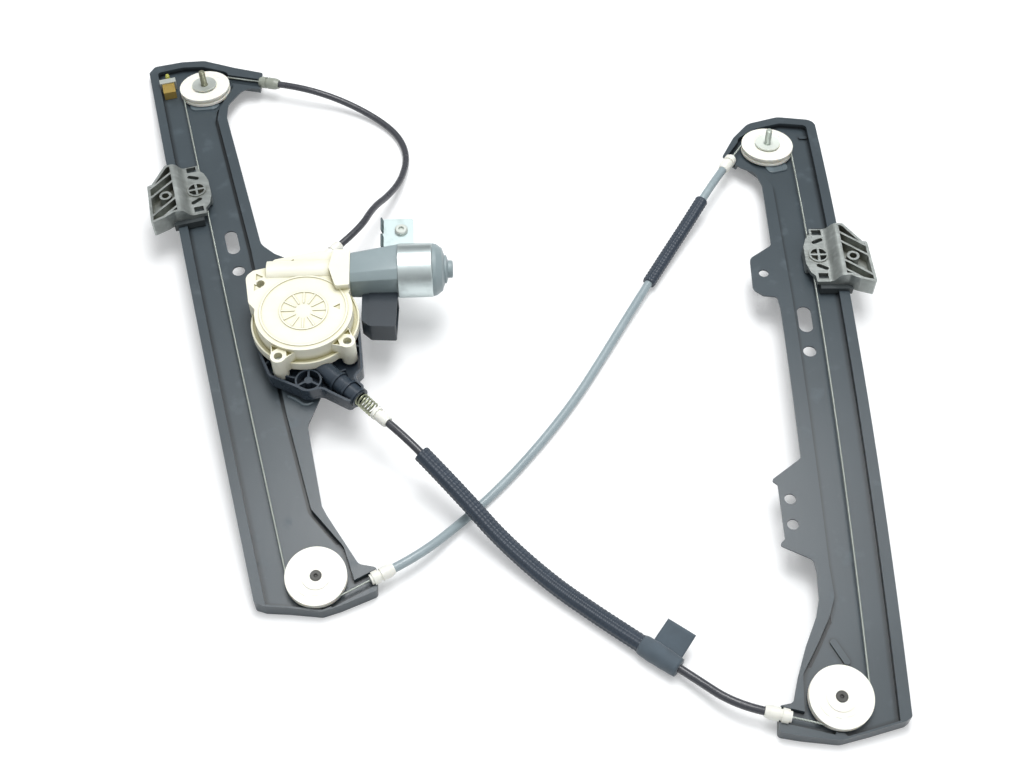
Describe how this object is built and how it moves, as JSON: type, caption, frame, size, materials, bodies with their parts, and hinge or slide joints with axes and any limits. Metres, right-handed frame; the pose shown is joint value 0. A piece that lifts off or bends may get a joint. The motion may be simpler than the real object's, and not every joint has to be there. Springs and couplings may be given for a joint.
{
  "type": "window regulator",
  "caption": "Twin-rail cable window regulator with a geared motor drive, glass carriers on curved rails, pulleys and sheathed cables.",
  "frame": {"origin": "centre of the footprint on the surface that the regulator lies on", "axes": "+X across from the left rail to the right rail, +Y up the right rail towards the belt line, +Z away from the surface it lies on"},
  "size_m": [0.6714, 0.7078, 0.0846],
  "materials": {
    "rail_steel": "satin dark blue-grey coating on pressed steel",
    "pulley_plastic": "smooth off-white acetal",
    "zinc_steel": "pale zinc plate",
    "dark_rivet_steel": "dark phosphated steel",
    "wire_steel": "bare stranded steel wire",
    "clear_plastic": "greyish translucent plastic",
    "white_plastic": "white moulded plastic",
    "cast_aluminium": "as-cast, lightly blasted",
    "slider_plastic": "black acetal",
    "nipple_zinc": "die-cast zinc",
    "amber_rubber": "amber polyurethane",
    "base_plastic": "glass-filled dark plastic",
    "cream_plastic": "ivory moulded plastic",
    "gear_plastic": "natural acetal",
    "motor_plastic": "blue-grey glass-filled plastic",
    "can_steel": "zinc-plated deep-drawn steel",
    "core_steel": "stacked laminations",
    "copper": "copper",
    "magnet_ferrite": "ferrite",
    "bush_bronze": "sintered bronze",
    "brush_carbon": "carbon",
    "dark_conduit": "dark grey plastic-coated conduit",
    "pale_conduit": "pale blue-grey plastic-coated conduit",
    "sleeve_plastic": "soft ribbed black sleeve",
    "tape_cloth": "dark woven cloth tape"
  },
  "bodies": {
    "guide_frame": {"base_rivets": "dark_rivet_steel", "bracket_screw": "zinc_steel", "brushes": "brush_carbon", "connector_housing": "base_plastic", "connector_pins": "copper", "cross_conduit": "pale_conduit", "cross_sleeve": "sleeve_plastic", "drum_base": "base_plastic", "drum_pin": "zinc_steel", "end_stop_buffer": "amber_rubber", "end_stop_clip": "zinc_steel", "gear_housing": "cream_plastic", "gear_lid": "gear_plastic", "housing_screws": "zinc_steel", "left_bottom_ferrule": "white_plastic", "left_bottom_rivet": "dark_rivet_steel", "left_rail": "rail_steel", "left_top_ferrule": "clear_plastic", "left_top_stud": "zinc_steel", "left_top_washer": "zinc_steel", "left_wire": "wire_steel", "long_conduit": "dark_conduit", "long_sleeve": "sleeve_plastic", "magnets": "magnet_ferrite", "motor_bracket": "zinc_steel", "motor_can": "can_steel", "motor_end_cap": "motor_plastic", "motor_front_housing": "motor_plastic", "right_bottom_ferrule": "white_plastic", "right_bottom_rivet": "dark_rivet_steel", "right_rail": "rail_steel", "right_top_ferrule": "white_plastic", "right_top_stud": "zinc_steel", "right_top_washer": "zinc_steel", "right_wire": "wire_steel", "shaft_bushes": "bush_bronze", "spring_ferrule": "white_plastic", "tape_wrap": "tape_cloth", "tension_spring": "zinc_steel", "upper_conduit": "dark_conduit", "upper_fitting": "white_plastic"},
    "left_carriage": {"left_carrier": "cast_aluminium", "left_slider": "slider_plastic", "left_nipple": "nipple_zinc"},
    "right_carriage": {"right_carrier": "cast_aluminium", "right_slider": "slider_plastic", "right_nipple": "nipple_zinc"},
    "drum": {"cable_drum": "gear_plastic", "worm_wheel": "gear_plastic"},
    "armature": {"armature_shaft": "zinc_steel", "armature_core": "core_steel", "commutator": "copper"},
    "left_top_wheel": {"left_top_pulley": "pulley_plastic"},
    "left_bottom_wheel": {"left_bottom_pulley": "pulley_plastic"},
    "right_top_wheel": {"right_top_pulley": "pulley_plastic"},
    "right_bottom_wheel": {"right_bottom_pulley": "pulley_plastic"}
  },
  "joints": [
    {"name": "motor_turn", "type": "hinge", "parent": "guide_frame", "child": "armature", "pos_m": [-0.15067, 0.03707, 0.06159], "axis": [0.999, 0.0436, 0], "range_deg": [-47890, 12310]},
    {"name": "drum_turn", "type": "hinge", "parent": "guide_frame", "child": "drum", "pos_m": [-0.14873, -0.00739, 0.04279], "axis": [0, 0, 1], "range_deg": [-798.18, 205.18]},
    {"name": "left_travel", "type": "hinge", "parent": "guide_frame", "child": "left_carriage", "pos_m": [-0.20175, 0.0401, -1.92051], "axis": [-0.9632, -0.2689, 0], "range_deg": [-9.8, 2.52]},
    {"name": "right_travel", "type": "hinge", "parent": "guide_frame", "child": "right_carriage", "pos_m": [0.264, -0.0481, -1.92051], "axis": [-1, 0, 0], "range_deg": [-9.8, 2.52]},
    {"name": "left_top_turn", "type": "hinge", "parent": "guide_frame", "child": "left_top_wheel", "pos_m": [-0.27593, 0.30577, 0.01584], "axis": [-0.0379, 0.1358, 0.99], "range_deg": [-223.87, 870.78]},
    {"name": "left_bottom_turn", "type": "hinge", "parent": "guide_frame", "child": "left_bottom_wheel", "pos_m": [-0.12757, -0.22557, 0.01584], "axis": [0.0379, -0.1358, 0.99], "range_deg": [-223.87, 870.78]},
    {"name": "right_top_turn", "type": "hinge", "parent": "guide_frame", "child": "right_top_wheel", "pos_m": [0.264, 0.22773, 0.01584], "axis": [0, 0.141, 0.99], "range_deg": [-870.78, 223.87]},
    {"name": "right_bottom_turn", "type": "hinge", "parent": "guide_frame", "child": "right_bottom_wheel", "pos_m": [0.264, -0.32393, 0.01584], "axis": [0, -0.141, 0.99], "range_deg": [-870.78, 223.87]}
  ],
  "couplings": [
    {"joint": "drum_turn", "follows": "motor_turn", "ratio": 0.016667},
    {"joint": "left_travel", "follows": "motor_turn", "ratio": 0.00020451},
    {"joint": "right_travel", "follows": "motor_turn", "ratio": 0.00020451},
    {"joint": "left_top_turn", "follows": "motor_turn", "ratio": -0.018182},
    {"joint": "left_bottom_turn", "follows": "motor_turn", "ratio": -0.018182},
    {"joint": "right_top_turn", "follows": "motor_turn", "ratio": 0.018182},
    {"joint": "right_bottom_turn", "follows": "motor_turn", "ratio": 0.018182}
  ]
}
